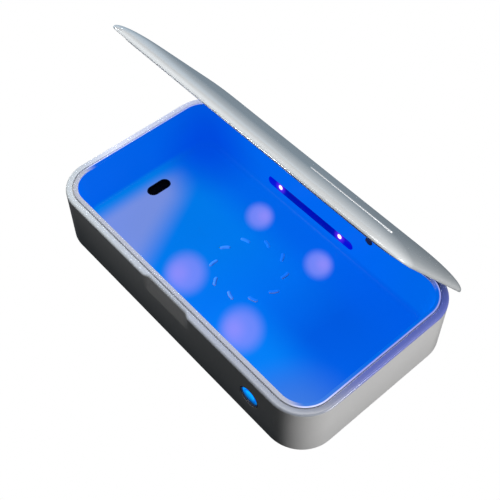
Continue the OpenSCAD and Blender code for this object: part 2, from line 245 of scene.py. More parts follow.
def at_button():
    """Matrix of the button's frame: origin on the casing's face, z into the casing."""
    x = (BEZEL[0].x + BEZEL[1].x) / 2
    z = (BEZEL[0].z + BEZEL[1].z) / 2
    return Matrix.Translation((x, CASING[0].y, z)) @ Matrix.Rotation(math.radians(-90), 4, "X")


def lid_pose():
    """Matrix that swings the closed lid to where it stands at rest."""
    return (Matrix.Translation((0, HINGE.y, HINGE.z)) @ Matrix.Rotation(-LID_OPEN, 4, "X")
            @ Matrix.Translation((0, -HINGE.y, -HINGE.z)))


# ---- materials ----

# The floor's light pools lie along these two level directions
ALONG, ACROSS = (-0.749, 0.663), (0.663, 0.749)
# Violet pools of painted light on the tray's floor: centre in mm, radius in mm, share of violet
POOLS = (((-24, -31.5), 15.5, 0.85), ((30, -32.5), 15.5, 0.8),
         ((-27.5, 33.5), 10.5, 0.9), ((26, 35), 10.5, 0.9))
# White plastic painted darker and blue: painted shade with the tray's blue light falling on it
BLUE_LIT_WHITE = (0.10, 0.11, 0.30)


def material(name):
    """New node material: returns it with its node tree and shader."""
    mat = bpy.data.materials.new(name)
    mat.use_nodes = True
    tree = mat.node_tree
    return mat, tree, tree.nodes["Principled BSDF"]


def node(tree, kind, **values):
    """Adds a node; names that are its properties are set, the rest are its input sockets."""
    made = tree.nodes.new(kind)
    for key, value in values.items():
        if hasattr(made, key):
            setattr(made, key, value)
        else:
            made.inputs[key.replace("_", " ")].default_value = value
    return made


def link(tree, a, b):
    """Joins an output socket to an input socket."""
    tree.links.new(a, b)


def ramp(tree, factor, *stops):
    """Colour ramp through (position, colour) stops."""
    made = tree.nodes.new("ShaderNodeValToRGB")
    elements = made.color_ramp.elements
    while len(elements) < len(stops):
        elements.new(0.5)
    for element, (position, colour) in zip(elements, stops):
        element.position = position
        element.color = (*colour, 1)
    link(tree, factor, made.inputs["Fac"])
    return made.outputs["Color"]


def noise(tree, scale, detail=4, roughness=0.55):
    """Object-space noise, 0 to 1."""
    coords = tree.nodes.new("ShaderNodeTexCoord")
    made = node(tree, "ShaderNodeTexNoise", Scale=scale, Detail=detail, Roughness=roughness)
    link(tree, coords.outputs["Object"], made.inputs["Vector"])
    return made.outputs["Fac"]


def grain_bump(tree, shader, scale, strength, distance):
    """Fine moulded grain."""
    bump = node(tree, "ShaderNodeBump", Strength=strength, Distance=distance)
    link(tree, noise(tree, scale, 3), bump.inputs["Height"])
    link(tree, bump.outputs["Normal"], shader.inputs["Normal"])


def plastic(name, colour, rough=(0.22, 0.34), spread=0.03, coat=0.0, grain=0.02, scale=900):
    """Moulded plastic: slight cloudiness in the colour, uneven gloss and a fine grain."""
    mat, tree, shader = material(name)
    dark = tuple(c * (1 - spread) for c in colour)
    link(tree, ramp(tree, noise(tree, 40), (0.3, dark), (0.7, colour)), shader.inputs["Base Color"])
    link(tree, evened(tree, *rough, noise(tree, 160, 6)), shader.inputs["Roughness"])
    shader.inputs["Coat Weight"].default_value = coat
    shader.inputs["Coat Roughness"].default_value = 0.12
    grain_bump(tree, shader, scale, grain, 0.0002)
    return mat


def masked(tree, kind, low, high, value):
    """0 to 1 as a value goes from low to high, by a kind of interpolation."""
    made = node(tree, "ShaderNodeMapRange", From_Min=low, From_Max=high)
    made.interpolation_type = kind
    link(tree, value, made.inputs["Value"])
    return made.outputs["Result"]


def maths(tree, operation, a, b=None):
    """Math node; a and b may be sockets or numbers."""
    made = tree.nodes.new("ShaderNodeMath")
    made.operation = operation
    for socket, value in zip(made.inputs, (a, b)):
        if value is None:
            continue
        if isinstance(value, (int, float)):
            socket.default_value = value
        else:
            link(tree, value, socket)
    return made.outputs["Value"]


def product(tree, first, *others):
    """Product of sockets and numbers."""
    for other in others:
        first = maths(tree, "MULTIPLY", first, other)
    return first


def smooth(tree, low, high, value):
    """Smooth step from 0 to 1 as a value goes from low to high."""
    return masked(tree, "SMOOTHSTEP", low, high, value)


def evened(tree, low, high, value):
    """Spreads a 0 to 1 value over low to high."""
    made = node(tree, "ShaderNodeMapRange", To_Min=low, To_Max=high)
    link(tree, value, made.inputs["Value"])
    return made.outputs["Result"]


def blended(tree, factor, a, b):
    """Colour a turned to colour b by a factor; either may be a socket or a colour."""
    made = tree.nodes.new("ShaderNodeMix")
    made.data_type = "RGBA"
    for index, value in ((0, factor), (6, a), (7, b)):
        if isinstance(value, (int, float)):
            made.inputs[index].default_value = value
        elif isinstance(value, tuple):
            made.inputs[index].default_value = (*value, 1)
        else:
            link(tree, value, made.inputs[index])
    return made.outputs[2]


def position(tree):
    """Object-space x, y and z."""
    coords = tree.nodes.new("ShaderNodeTexCoord")
    split = tree.nodes.new("ShaderNodeSeparateXYZ")
    link(tree, coords.outputs["Object"], split.inputs["Vector"])
    return split.outputs


def distance(tree, pairs):
    """Distance from sockets to fixed values, as the root of the sum of squares."""
    total = 0.0
    for value, centre in pairs:
        step = maths(tree, "SUBTRACT", value, centre)
        total = maths(tree, "ADD", total, maths(tree, "MULTIPLY", step, step))
    return maths(tree, "SQRT", total)


def rim_inset(tree, x, y):
    """Distance in from the casing's rounded outline."""
    over_x = maths(tree, "SUBTRACT", maths(tree, "ABSOLUTE", x), BODY_L / 2 - BODY_R)
    over_y = maths(tree, "SUBTRACT", maths(tree, "ABSOLUTE", y), BODY_W / 2 - BODY_R)
    outer = distance(tree, ((maths(tree, "MAXIMUM", over_x, 0.0), 0.0),
                            (maths(tree, "MAXIMUM", over_y, 0.0), 0.0)))
    inner = maths(tree, "MINIMUM", maths(tree, "MAXIMUM", over_x, over_y), 0.0)
    return maths(tree, "SUBTRACT", BODY_R, maths(tree, "ADD", outer, inner))


def end_share(tree, x, y):
    """1 on the flange along the tray's two ends, 0 along its long sides."""
    right = product(tree, smooth(tree, 90 * MM, 101 * MM, x), smooth(tree, -61 * MM, -52 * MM, y))
    left = product(tree, smooth(tree, -92 * MM, -102 * MM, x), smooth(tree, -46 * MM, -34 * MM, y))
    return maths(tree, "MAXIMUM", left, right)


def rim_glow(tree, x, y, z):
    """Share of blue light that the tray throws on the rim, strongest at the right end."""
    right = smooth(tree, 96 * MM, 109 * MM, x)
    back = smooth(tree, -52 * MM, -10 * MM, y)
    top = smooth(tree, Z_RIM - 2.6 * MM, Z_RIM - 1.0 * MM, z)
    return product(tree, right, back, top)


def light_pool(tree, x, y, centre, radius):
    """Pool of light on the floor, drawn out away from the front: its disc and its bright core."""
    step_x = maths(tree, "SUBTRACT", x, centre[0] * MM)
    step_y = maths(tree, "SUBTRACT", y, centre[1] * MM)
    far = [maths(tree, "ADD", product(tree, step_x, way[0] * squeeze),
                 product(tree, step_y, way[1] * squeeze)) for way, squeeze in ((ALONG, 0.8), (ACROSS, 1.0))]
    away = distance(tree, ((far[0], 0.0), (far[1], 0.0)))
    return (smooth(tree, radius * 1.06 * MM, radius * 0.42 * MM, away),
            smooth(tree, radius * 0.7 * MM, 0.0, away))


def wall_light(tree, x):
    """Painted blue light on the tray's walls, from left to right."""
    along = masked(tree, "LINEAR", -110 * MM, 110 * MM, x)
    return ramp(tree, along, (0.0, (0.0, 0.115, 0.78)), (0.35, (0.0, 0.137, 0.86)),
                (0.7, (0.0, 0.137, 0.88)), (1.0, (0.0, 0.140, 0.80)))


def floor_light(tree, x, y):
    """Painted blue light on the tray's floor: paler at the left by the well, more cyan at the front, darker
    towards the back wall.
    """
    along = masked(tree, "LINEAR", -110 * MM, 110 * MM, x)
    light = ramp(tree, along, (0.05, (0.0, 0.205, 0.80)), (0.40, (0.0, 0.200, 0.88)),
                 (0.60, (0.0, 0.165, 0.90)), (0.78, (0.0, 0.105, 0.76)), (0.95, (0.0, 0.110, 0.76)))
    # Painted shade towards the back wall.
    back = product(tree, smooth(tree, 12 * MM, 42 * MM, y), 0.75)
    light = blended(tree, back, light, (0.0, 0.115, 0.82))
    slant = maths(tree, "ADD", x, product(tree, y, 0.517))
    # Painted pale light at the left end by the well.
    pale = product(tree, smooth(tree, -60 * MM, -86 * MM, slant), smooth(tree, 28 * MM, -2 * MM, y),
                   smooth(tree, -102 * MM, -88 * MM, x))
    light = blended(tree, pale, light, (0.20, 0.295, 0.75))
    # Painted brighter cyan light at the front.
    front = product(tree, smooth(tree, -4 * MM, -34 * MM, y),
                    product(tree, smooth(tree, 95 * MM, 55 * MM, x), smooth(tree, 0.0, 30 * MM, x)))
    return blended(tree, front, light, (0.0, 0.215, 0.92))


def vane_light(tree, x, y, z):
    """Painted highlight and shade on the vanes' sides, lighter where they face the front left: where the
    vanes are, how strongly the painted light shows, and its level.
    """
    facing = node(tree, "ShaderNodeVectorMath")
    facing.operation = "DOT_PRODUCT"
    facing.inputs[1].default_value = (-0.75, -0.6, 0.0)
    link(tree, tree.nodes.new("ShaderNodeNewGeometry").outputs["Normal"], facing.inputs[0])
    side = node(tree, "ShaderNodeMapRange", From_Min=-0.8, From_Max=0.8, To_Min=-0.6, To_Max=1.3)
    link(tree, facing.outputs["Value"], side.inputs["Value"])
    across = maths(tree, "ADD", product(tree, x, ACROSS[0]), product(tree, y, ACROSS[1]))
    painted_vane_strength = maths(tree, "ADD", product(tree, smooth(tree, 8 * MM, -14 * MM, across), 0.75), 0.25)
    painted_side_shading = maths(tree, "ADD", product(tree, side.outputs["Result"], painted_vane_strength), 1.0)
    centre_away = distance(tree, ((x, 0.0), (y, 0.0)))
    on_vane = product(tree, masked(tree, "LINEAR", 40 * MM, 39 * MM, centre_away),
                      masked(tree, "LINEAR", Z_FLOOR + 0.02 * MM, Z_FLOOR + 0.1 * MM, z))
    level = node(tree, "ShaderNodeMix")
    link(tree, on_vane, level.inputs[0])
    level.inputs[2].default_value = 1.0
    link(tree, painted_side_shading, level.inputs[3])
    return on_vane, painted_vane_strength, level.outputs[0]


def tray_material():
    """White tray with its lights painted on: blue glow inside, with four violet pools of painted light on the
    floor.
    """
    mat, tree, shader = material("lit_tray")
    x, y, z = position(tree)
    low = smooth(tree, Z_FLOOR + 5 * MM, Z_FLOOR + 0.5 * MM, z)
    light = blended(tree, low, wall_light(tree, x), floor_light(tree, x, y))
    corner = distance(tree, ((x, -100 * MM), (y, 52 * MM), (z, Z_FLOOR)))
    shade = smooth(tree, 55 * MM, 5 * MM, corner)
    light = blended(tree, product(tree, shade, 0.8), light, (0.0, 0.065, 0.72))
    front_corner = distance(tree, ((x, 97 * MM), (y, -50 * MM)))
    glow = product(tree, smooth(tree, 47 * MM, 6 * MM, front_corner), 0.85)
    light = blended(tree, glow, light, (0.06, 0.21, 0.70))
    for centre, radius, share in POOLS:
        spot, _ = light_pool(tree, x, y, centre, radius)
        offset = 0.28 * radius if centre[1] > 0 else -0.28 * radius
        lamp_side = (centre[0] + ACROSS[0] * offset, centre[1] + ACROSS[1] * offset)
        _, core = light_pool(tree, x, y, lamp_side, radius)
        light = blended(tree, product(tree, spot, low, share), light, (0.21, 0.27, 0.98))
        light = blended(tree, product(tree, core, low, 0.42), light, (0.42, 0.31, 1.0))
    on_vane, painted_vane_strength, painted_vane_shading = vane_light(tree, x, y, z)
    # Painted highlight: the vanes are painted a paler blue, strongest on the vanes nearer the front.
    light = blended(tree, product(tree, on_vane, painted_vane_strength, 0.3), light, (0.12, 0.26, 1.0))
    cloud = evened(tree, 0.95, 1.05, noise(tree, 18, 2))
    # Where the tray's painted blue light covers it: below the rim, and on the flange along both ends.
    below = smooth(tree, Z_RIM - 0.1 * MM, Z_RIM - 0.9 * MM, z)
    inset = rim_inset(tree, x, y)
    flange = product(tree, end_share(tree, x, y), smooth(tree, 5.3 * MM, 5.9 * MM, inset))
    inside = maths(tree, "MAXIMUM", below, flange)
    # Painted light: inside, the tray's white turns dark blue and glows blue; at the right end the flange
    # takes rim_glow's painted shade and blue light.
    white = blended(tree, rim_glow(tree, x, y, z), (0.62, 0.65, 0.74), BLUE_LIT_WHITE)
    link(tree, blended(tree, inside, white, (0.0, 0.030, 0.12)), shader.inputs["Base Color"])
    link(tree, blended(tree, inside, (0.36, 0.40, 0.86), light), shader.inputs["Emission Color"])
    level = product(tree, inside, cloud, 0.9, painted_vane_shading)
    # Painted highlight: the flange along both ends glows pale blue, a light line at its edge.
    painted_end_glow = product(tree, end_share(tree, x, y), 0.85)
    link(tree, maths(tree, "MAXIMUM", level, painted_end_glow), shader.inputs["Emission Strength"])
    link(tree, evened(tree, 0.30, 0.36, noise(tree, 150, 5)), shader.inputs["Roughness"])
    shader.inputs["Specular IOR Level"].default_value = 0.05
    grain_bump(tree, shader, 1400, 0.02, 0.0001)
    return mat


def casing_material():
    """White moulded casing: painted light and shade on the rim, paler at the left and darker at the right,
    and a painted glow of the tray's light on the rim at both ends.
    """
    mat = plastic("white_casing", (0.80, 0.80, 0.80), rough=(0.27, 0.29), coat=0.15, grain=0.003,
                  scale=1600)
    tree = mat.node_tree
    shader = tree.nodes["Principled BSDF"]
    x, y, z = position(tree)
    right = rim_glow(tree, x, y, z)
    colour = shader.inputs["Base Color"].links[0].from_socket
    # Painted light and shade on the rim's top: paler at the left end, darker towards the right.
    top = smooth(tree, Z_RIM - 1.6 * MM, Z_RIM - 0.5 * MM, z)
    rim_light_and_shade = ramp(tree, masked(tree, "LINEAR", -100 * MM, 111 * MM, x), (0.0, (0.80, 0.87, 0.91)),
                (0.65, (0.55, 0.60, 0.70)), (0.9, (0.46, 0.50, 0.58)), (1.0, (0.38, 0.41, 0.48)))
    colour = blended(tree, top, colour, rim_light_and_shade)
    link(tree, blended(tree, right, colour, BLUE_LIT_WHITE), shader.inputs["Base Color"])
    # Painted light: a pale lavender glow on the rim at the left end; at the right end the rim glows blue.
    left = product(tree, smooth(tree, -100 * MM, -107 * MM, x), smooth(tree, -52 * MM, -15 * MM, y),
                   smooth(tree, Z_RIM - 1.6 * MM, Z_RIM - 0.4 * MM, z))
    link(tree, blended(tree, left, (0.11, 0.15, 0.49), (0.62, 0.64, 0.85)), shader.inputs["Emission Color"])
    link(tree, maths(tree, "MAXIMUM", product(tree, right, 0.62), product(tree, left, 0.55)),
         shader.inputs["Emission Strength"])
    return mat


def window_material():
    """Deep blue cover with the two diodes shining through it."""
    mat, tree, shader = material("lit_window")
    x, y, z = position(tree)
    led_x = (REAR_LEDS[0].x + REAR_LEDS[1].x) / 2
    pitch = REAR_LEDS[1].x - REAR_LEDS[0].x - DIODE_L
    off = maths(tree, "ABSOLUTE", maths(tree, "SUBTRACT", x, led_x))
    from_led = distance(tree, ((off, pitch / 2), (z, WINDOW_Z + 0.6 * MM)))
    band = ramp(tree, masked(tree, "LINEAR", 0, 30 * MM, off),
                (0.0, (0.0, 0.0, 0.42)), (0.6, (0.0, 0.001, 0.36)), (1.0, (0.002, 0.002, 0.62)))
    halo = smooth(tree, 5.5 * MM, 1.0 * MM, from_led)
    core = smooth(tree, 2.1 * MM, 1.1 * MM, from_led)
    light = blended(tree, product(tree, halo, 0.75), band, (0.16, 0.02, 0.95))
    light = blended(tree, core, light, (1.0, 0.72, 1.0))
    link(tree, light, shader.inputs["Emission Color"])
    link(tree, maths(tree, "ADD", product(tree, core, 1.2), 1.0), shader.inputs["Emission Strength"])
    shader.inputs["Base Color"].default_value = (0.0, 0.0, 0.05, 1)
    shader.inputs["Specular IOR Level"].default_value = 0.15
    link(tree, evened(tree, 0.12, 0.2, noise(tree, 200)), shader.inputs["Roughness"])
    grain_bump(tree, shader, 500, 0.02, 0.0002)
    return mat


def glow_material(name, centre, radius, stops, base, strength):
    """Lit plastic of the button: light by distance from the button's axis and by height."""
    mat, tree, shader = material(name)
    x, y, z = position(tree)
    away = distance(tree, ((x, centre.x), (z, centre.z)))
    colour = ramp(tree, masked(tree, "LINEAR", 0, radius, away), *stops)
    upper = node(tree, "ShaderNodeMapRange", From_Min=-radius, From_Max=radius, To_Min=0.05, To_Max=1.5)
    link(tree, maths(tree, "SUBTRACT", z, centre.z), upper.inputs["Value"])
    cloud = evened(tree, 0.75, 1.25, noise(tree, 420, 2))
    link(tree, colour, shader.inputs["Emission Color"])
    link(tree, product(tree, upper.outputs["Result"], cloud, strength), shader.inputs["Emission Strength"])
    shader.inputs["Base Color"].default_value = (*base, 1)
    link(tree, evened(tree, 0.16, 0.28, noise(tree, 300)), shader.inputs["Roughness"])
    return mat


def metal(name, colour, rough=(0.18, 0.32), stretch=(1, 1, 1), scale=600, share=1.0):
    """Metal with fine directional marks; a share under 1 makes it a metal paint."""
    mat, tree, shader = material(name)
    coords = tree.nodes.new("ShaderNodeTexCoord")
    mapping = tree.nodes.new("ShaderNodeMapping")
    mapping.inputs["Scale"].default_value = stretch
    link(tree, coords.outputs["Object"], mapping.inputs["Vector"])
    marks = node(tree, "ShaderNodeTexNoise", Scale=scale, Detail=5)
    link(tree, mapping.outputs["Vector"], marks.inputs["Vector"])
    link(tree, evened(tree, *rough, marks.outputs["Fac"]), shader.inputs["Roughness"])
    dark = tuple(c * 0.9 for c in colour)
    link(tree, ramp(tree, marks.outputs["Fac"], (0.35, dark), (0.65, colour)), shader.inputs["Base Color"])
    shader.inputs["Metallic"].default_value = share
    return mat


def board_material():
    """Solder mask with faint copper tracks under it."""
    mat, tree, shader = material("circuit_board")
    coords = tree.nodes.new("ShaderNodeTexCoord")
    tracks = node(tree, "ShaderNodeTexWave", Scale=260, Distortion=1.5, Detail=2)
    tracks.bands_direction = "X"
    link(tree, coords.outputs["Object"], tracks.inputs["Vector"])
    link(tree, ramp(tree, tracks.outputs["Fac"], (0.55, (0.006, 0.07, 0.03)), (0.62, (0.02, 0.14, 0.06))),
         shader.inputs["Base Color"])
    link(tree, evened(tree, 0.25, 0.45, noise(tree, 300)), shader.inputs["Roughness"])
    return mat


def foam_material():
    """Open black foam."""
    mat, tree, shader = material("black_foam")
    coords = tree.nodes.new("ShaderNodeTexCoord")
    cells = node(tree, "ShaderNodeTexVoronoi", Scale=1600)
    link(tree, coords.outputs["Object"], cells.inputs["Vector"])
    colour = ramp(tree, cells.outputs["Distance"], (0.1, (0.0008, 0.0008, 0.001)),
                  (0.7, (0.006, 0.006, 0.007)))
    link(tree, colour, shader.inputs["Base Color"])
    shader.inputs["Roughness"].default_value = 0.95
    shader.inputs["Specular IOR Level"].default_value = 0.05
    bump = node(tree, "ShaderNodeBump", Strength=0.8, Distance=0.0003)
    link(tree, cells.outputs["Distance"], bump.inputs["Height"])
    link(tree, bump.outputs["Normal"], shader.inputs["Normal"])
    return mat


BUTTON_AXIS = Vector(((RING[0].x + RING[1].x) / 2, 0, (RING[0].z + RING[1].z) / 2))
BUTTON_GLOW_R = 6.3 * MM
WHITE = casing_material()
TRAY_WHITE = plastic("tray_outside", (0.62, 0.65, 0.72), rough=(0.30, 0.36), grain=0.01)
LID_WHITE = plastic("white_lid", (0.76, 0.79, 0.81), rough=(0.24, 0.26), coat=1.0, grain=0.003, scale=1600)
PLATE_WHITE = plastic("white_plate", (0.78, 0.80, 0.83), rough=(0.30, 0.42))
COVER_GREY = plastic("cover_plastic", (0.55, 0.56, 0.58), rough=(0.45, 0.6), grain=0.25, scale=1400)
BEZEL_GREY = plastic("bezel_plastic", (0.22, 0.23, 0.26), rough=(0.12, 0.2), coat=0.5)
BLACK = plastic("black_plastic", (0.004, 0.004, 0.005), rough=(0.35, 0.5))
CHIP = plastic("chip_black", (0.02, 0.02, 0.022), rough=(0.4, 0.55))
JACKET = plastic("wire_jacket", (0.30, 0.02, 0.02), rough=(0.4, 0.5))
LENS_BLACK = plastic("sensor_lens", (0.002, 0.002, 0.004), rough=(0.2, 0.28), coat=0.1)
SILICONE = plastic("seal_silicone", (0.66, 0.68, 0.71), rough=(0.5, 0.65), grain=0.1)
RUBBER = plastic("foot_rubber", (0.035, 0.035, 0.037), rough=(0.7, 0.85), grain=0.4, scale=1800)
STEEL = metal("steel", (0.60, 0.60, 0.62))
INLAY_METAL = metal("inlay_metal", (0.90, 0.93, 0.96), rough=(0.36, 0.44), stretch=(0.05, 1, 1), scale=300,
                    share=0.4)
DIODE = plastic("diode", (0.75, 0.55, 1.0), rough=(0.1, 0.2))
LIT_TRAY = tray_material()
LIT_WINDOW = window_material()
LIT_RING = glow_material("lit_ring", BUTTON_AXIS, BUTTON_GLOW_R,
                         ((0.6, (0.0, 0.14, 0.90)), (0.85, (0.0, 0.32, 1.0)), (1.0, (0.0, 0.12, 0.7))),
                         (0.0, 0.05, 0.2), 1.15)
LIT_CAP = glow_material("lit_cap", BUTTON_AXIS, BUTTON_GLOW_R,
                        ((0.0, (0.0, 0.30, 1.0)), (0.45, (0.0, 0.36, 1.0)), (0.75, (0.0, 0.10, 0.75))),
                        (0.0, 0.04, 0.2), 1.4)
BOARD = board_material()
FOAM = foam_material()


def finish_piece(ob, mat, body, replaced):
    """Gives a piece its material and its body, and hides the CAD node that it stands for."""
    ob.data.materials.clear()
    ob.data.materials.append(mat)
    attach(ob, body)
    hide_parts(replaced)
    return ob


# ---- casing ----

NOTCH_HALF, NOTCH_RAMP, NOTCH_DEEP, NOTCH_DROP = 21 * MM, 5 * MM, 2 * MM, 13 * MM


def notch_depth(x, z):
    """How far the finger notch cuts into the front face at a point."""
    side = max(0.0, min(1.0, (NOTCH_HALF - abs(x)) / NOTCH_RAMP))
    rise = max(0.0, min(1.0, (z - (Z_RIM - NOTCH_DROP)) / NOTCH_DROP))
    return NOTCH_DEEP * rise * side * side * (3 - 2 * side)


def casing_profile():
    """Closed section of the casing's wall, with its lip and the ledge under the tray's flange."""
    top_r, low_r, edge = 1.5 * MM, 1.2 * MM, 0.3 * MM
    lip_w, ledge_w, ledge_t, wall = 4 * MM, 5.7 * MM, 1.5 * MM, 2.2 * MM
    ledge = Z_RIM - LEDGE_DROP
    outer = fillet(-low_r, Z_BASE + low_r, low_r, -90, 0)
    climb = [(0, Z_RIM - 14 * MM + k * MM) for k in range(13)]
    top = fillet(-top_r, Z_RIM - top_r, top_r, 0, 90, 7)
    lip = fillet(-lip_w + edge, Z_RIM - edge, edge, 90, 180, 4)
    rest = [(-lip_w, ledge), (-ledge_w, ledge), (-ledge_w, ledge - ledge_t), (-wall, ledge - ledge_t),
            (-wall, Z_BASE)]
    return outer + climb + top + lip + rest


def make_casing():
    """Casing with its finger notch, hinge bosses and pockets, button hole and charging inlet."""
    path = outline(BODY_L, BODY_W, BODY_R, arc=24, step=4 * MM, front_step=1.2 * MM)
    bm, _ = sweep(path, casing_profile())
    front = CASING[0].y
    for v in bm.verts:
        if v.co.y < front + 1.9 * MM and abs(v.co.x) < 22 * MM:
            v.co.y += notch_depth(v.co.x, v.co.z) * (1 if v.co.y < front + 1.6 * MM else 0.6)
    casing = new_object("casing", bm)
    boss_half, pocket_half = 12.5 * MM, 8 * MM
    for s in (-1, 1):
        boss = block("boss", (s * HINGE_X - boss_half, HINGE.y - 3.2 * MM, HINGE.z - 4 * MM),
                     (s * HINGE_X + boss_half, HINGE.y + 0.6 * MM, HINGE.z - 0.6 * MM))
        apply_boolean(casing, boss, "UNION")
        pocket = block("pocket", (s * HINGE_X - pocket_half, HINGE.y - 2.6 * MM, HINGE.z - 2.6 * MM),
                       (s * HINGE_X + pocket_half, HINGE.y + 8 * MM, HINGE.z + 8 * MM))
        cut(casing, pocket)
    radius = (BEZEL[1].x - BEZEL[0].x) / 2 - BEZEL_FLANGE + GAP
    hole = turned("hole", [(0, -3 * MM), (radius, -3 * MM), (radius, 4 * MM), (0, 4 * MM)])
    cut(casing, place(hole, at_button()))
    inlet = bar("inlet", 9.7 * MM, 3.9 * MM, 6 * MM)
    centre = ((SOCKET[0].x + SOCKET[1].x) / 2, CASING[1].y - 4 * MM, (SOCKET[0].z + SOCKET[1].z) / 2)
    cut(casing, place(inlet, Matrix.Translation(centre)))
    crisp(casing, 32)
    return finish_piece(casing, WHITE, "base", "base_shell")


# ---- tray ----

def tray_profile():
    """Open run from the underside of the floor, round the outside and the flange, to the floor."""
    tan, sin, cos = TAN_DRAFT, math.sin(DRAFT), math.cos(DRAFT)
    top, foot, wall_t = -MOUTH_INSET, -MOUTH_INSET - LEAN, 1.8 * MM
    flange_w = 4.8 * MM
    edge = 0.5 * MM
    low = foot + 0.8 * MM * tan + wall_t
    centre_u = foot + FILLET * tan - FILLET / cos
    centre_z = Z_FLOOR + FILLET
    under = [(centre_u - 0.4 * MM, Z_FLOOR - 2 * MM), (low - 3 * MM, Z_FLOOR - 2 * MM),
             (low, Z_FLOOR + 0.8 * MM), (top - 2 * MM * tan + wall_t, Z_RIM - LEDGE_DROP),
             (-flange_w, Z_RIM - LEDGE_DROP)]
    lip = fillet(-flange_w - 0.25 * MM, Z_RIM - 0.25 * MM, 0.25 * MM, 0, 90, 3)
    mouth = fillet(top + edge, Z_RIM - edge, edge, 90, 180, 5)
    wall = [(top - t * (Z_RIM - centre_z) * tan, Z_RIM - t * (Z_RIM - centre_z)) for t in (0.25, 0.5, 0.75)]
    start = -math.degrees(DRAFT)
    round_foot = fillet(centre_u, centre_z, FILLET, start, -90, 12)
    return under + lip + mouth + wall + round_foot


VANES, VANE_RING_R, VANE_SLANT = 10, 23 * MM, math.radians(-35)


def vane(angle):
    """One curved swirl vane, a rounded bar bent to an arc."""
    bend, span, half, height = 11 * MM, 36, 1.1 * MM, 0.9 * MM
    ridge = [(-half * math.cos(math.radians(t)), height * math.sin(math.radians(t)))
             for t in range(0, 181, 20)]
    profile = [(-half, -0.4 * MM)] + ridge + [(half, -0.4 * MM)]
    bm = bmesh.new()
    rings = []
    steps = 14
    for k in range(steps + 1):
        a = math.radians(-span / 2 + span * k / steps)
        taper = math.sqrt(max(0.0, 1 - (2 * k / steps - 1) ** 6)) * 0.9 + 0.1
        rings.append([bm.verts.new(((bend + u * taper) * math.cos(a) - bend, (bend + u * taper) * math.sin(a),
                                    Z_FLOOR + h * (taper if h > 0 else 1))) for u, h in profile])
    for a, b in zip(rings, rings[1:]):
        for i in range(len(profile)):
            j = (i + 1) % len(profile)
            bm.faces.new((a[i], b[i], b[j], a[j]))
    bm.faces.new(rings[0])
    bm.faces.new(list(reversed(rings[-1])))
    ob = new_object("vane", bm)
    turn = Matrix.Rotation(angle, 4, "Z") @ Matrix.Translation((VANE_RING_R, 0, 0))
    return place(ob, turn @ Matrix.Rotation(VANE_SLANT, 4, "Z"))


def make_tray():
    """Tray with its vanes, light slots, sensor hole and well, lit inside and plain white outside."""
    path = outline(BODY_L, BODY_W, BODY_R, arc=24, step=4 * MM)
    profile = tray_profile()
    bm, rings = sweep(path, profile, closed=False)
    bm.faces.new([ring[0] for ring in rings])
    bm.faces.new([ring[-1] for ring in rings])
    tray = new_object("tray", bm)
    for k in range(VANES):
        apply_boolean(tray, vane(math.radians(360 / VANES * k)), "UNION")
    for side in (-1, 1):
        slot = bar("slot", WINDOW_L + SLOT_PLAY, WINDOW_H + SLOT_PLAY, 7 * MM)
        cut(tray, place(slot, on_tray_wall(side, WINDOW_X, WINDOW_Z) @ Matrix.Translation((0, -3 * MM, 0))))
    lens = [(LENS[0][i] + LENS[1][i]) / 2 for i in range(3)]
    deep = 6 * MM
    hole = turned("hole", [(0, -deep), (LENS_HOLE_R, -deep), (LENS_HOLE_R, deep), (0, deep)])
    cut(tray, place(hole, Matrix.Translation(lens) @ Matrix.Rotation(math.radians(90) - DRAFT, 4, "X")))
    well = bar("well", WELL_L, WELL_W, WELL_DEEP)
    centre = ((WELL[0].x + WELL[1].x) / 2, 0, Z_FLOOR + 4 * MM)
    turn = Matrix.Rotation(math.radians(90), 4, "Z") @ Matrix.Rotation(math.radians(-90), 4, "X")
    cut(tray, place(well, Matrix.Translation(centre) @ turn))
    crisp(tray, 32)
    for p in tray.data.polygons:
        p.use_smooth = abs(p.normal.z) < 0.999 or p.center.z > Z_FLOOR + 0.1 * MM
    finish_piece(tray, LIT_TRAY, "base", "inner_tray")
    tray.data.materials.append(TRAY_WHITE)
    for p in tray.data.polygons:
        outward = p.normal.x * p.center.x + p.normal.y * p.center.y > 0.2 * MM
        outer_side = outward and p.center.z > Z_FLOOR - 1 * MM and p.normal.z < 0.6
        p.material_index = 1 if outer_side or p.normal.z < -0.5 else 0
    return tray


def make_window(side, name, replaced):
    """Cover of a light slot in one of the long walls."""
    piece = bar(name, WINDOW_L, WINDOW_H, 1.4 * MM, edge=0.35 * MM)
    place(piece, on_tray_wall(side, WINDOW_X, WINDOW_Z) @ Matrix.Translation((0, 0.4 * MM, 0)))
    return finish_piece(piece, LIT_WINDOW, "base", replaced)


# ---- button ----

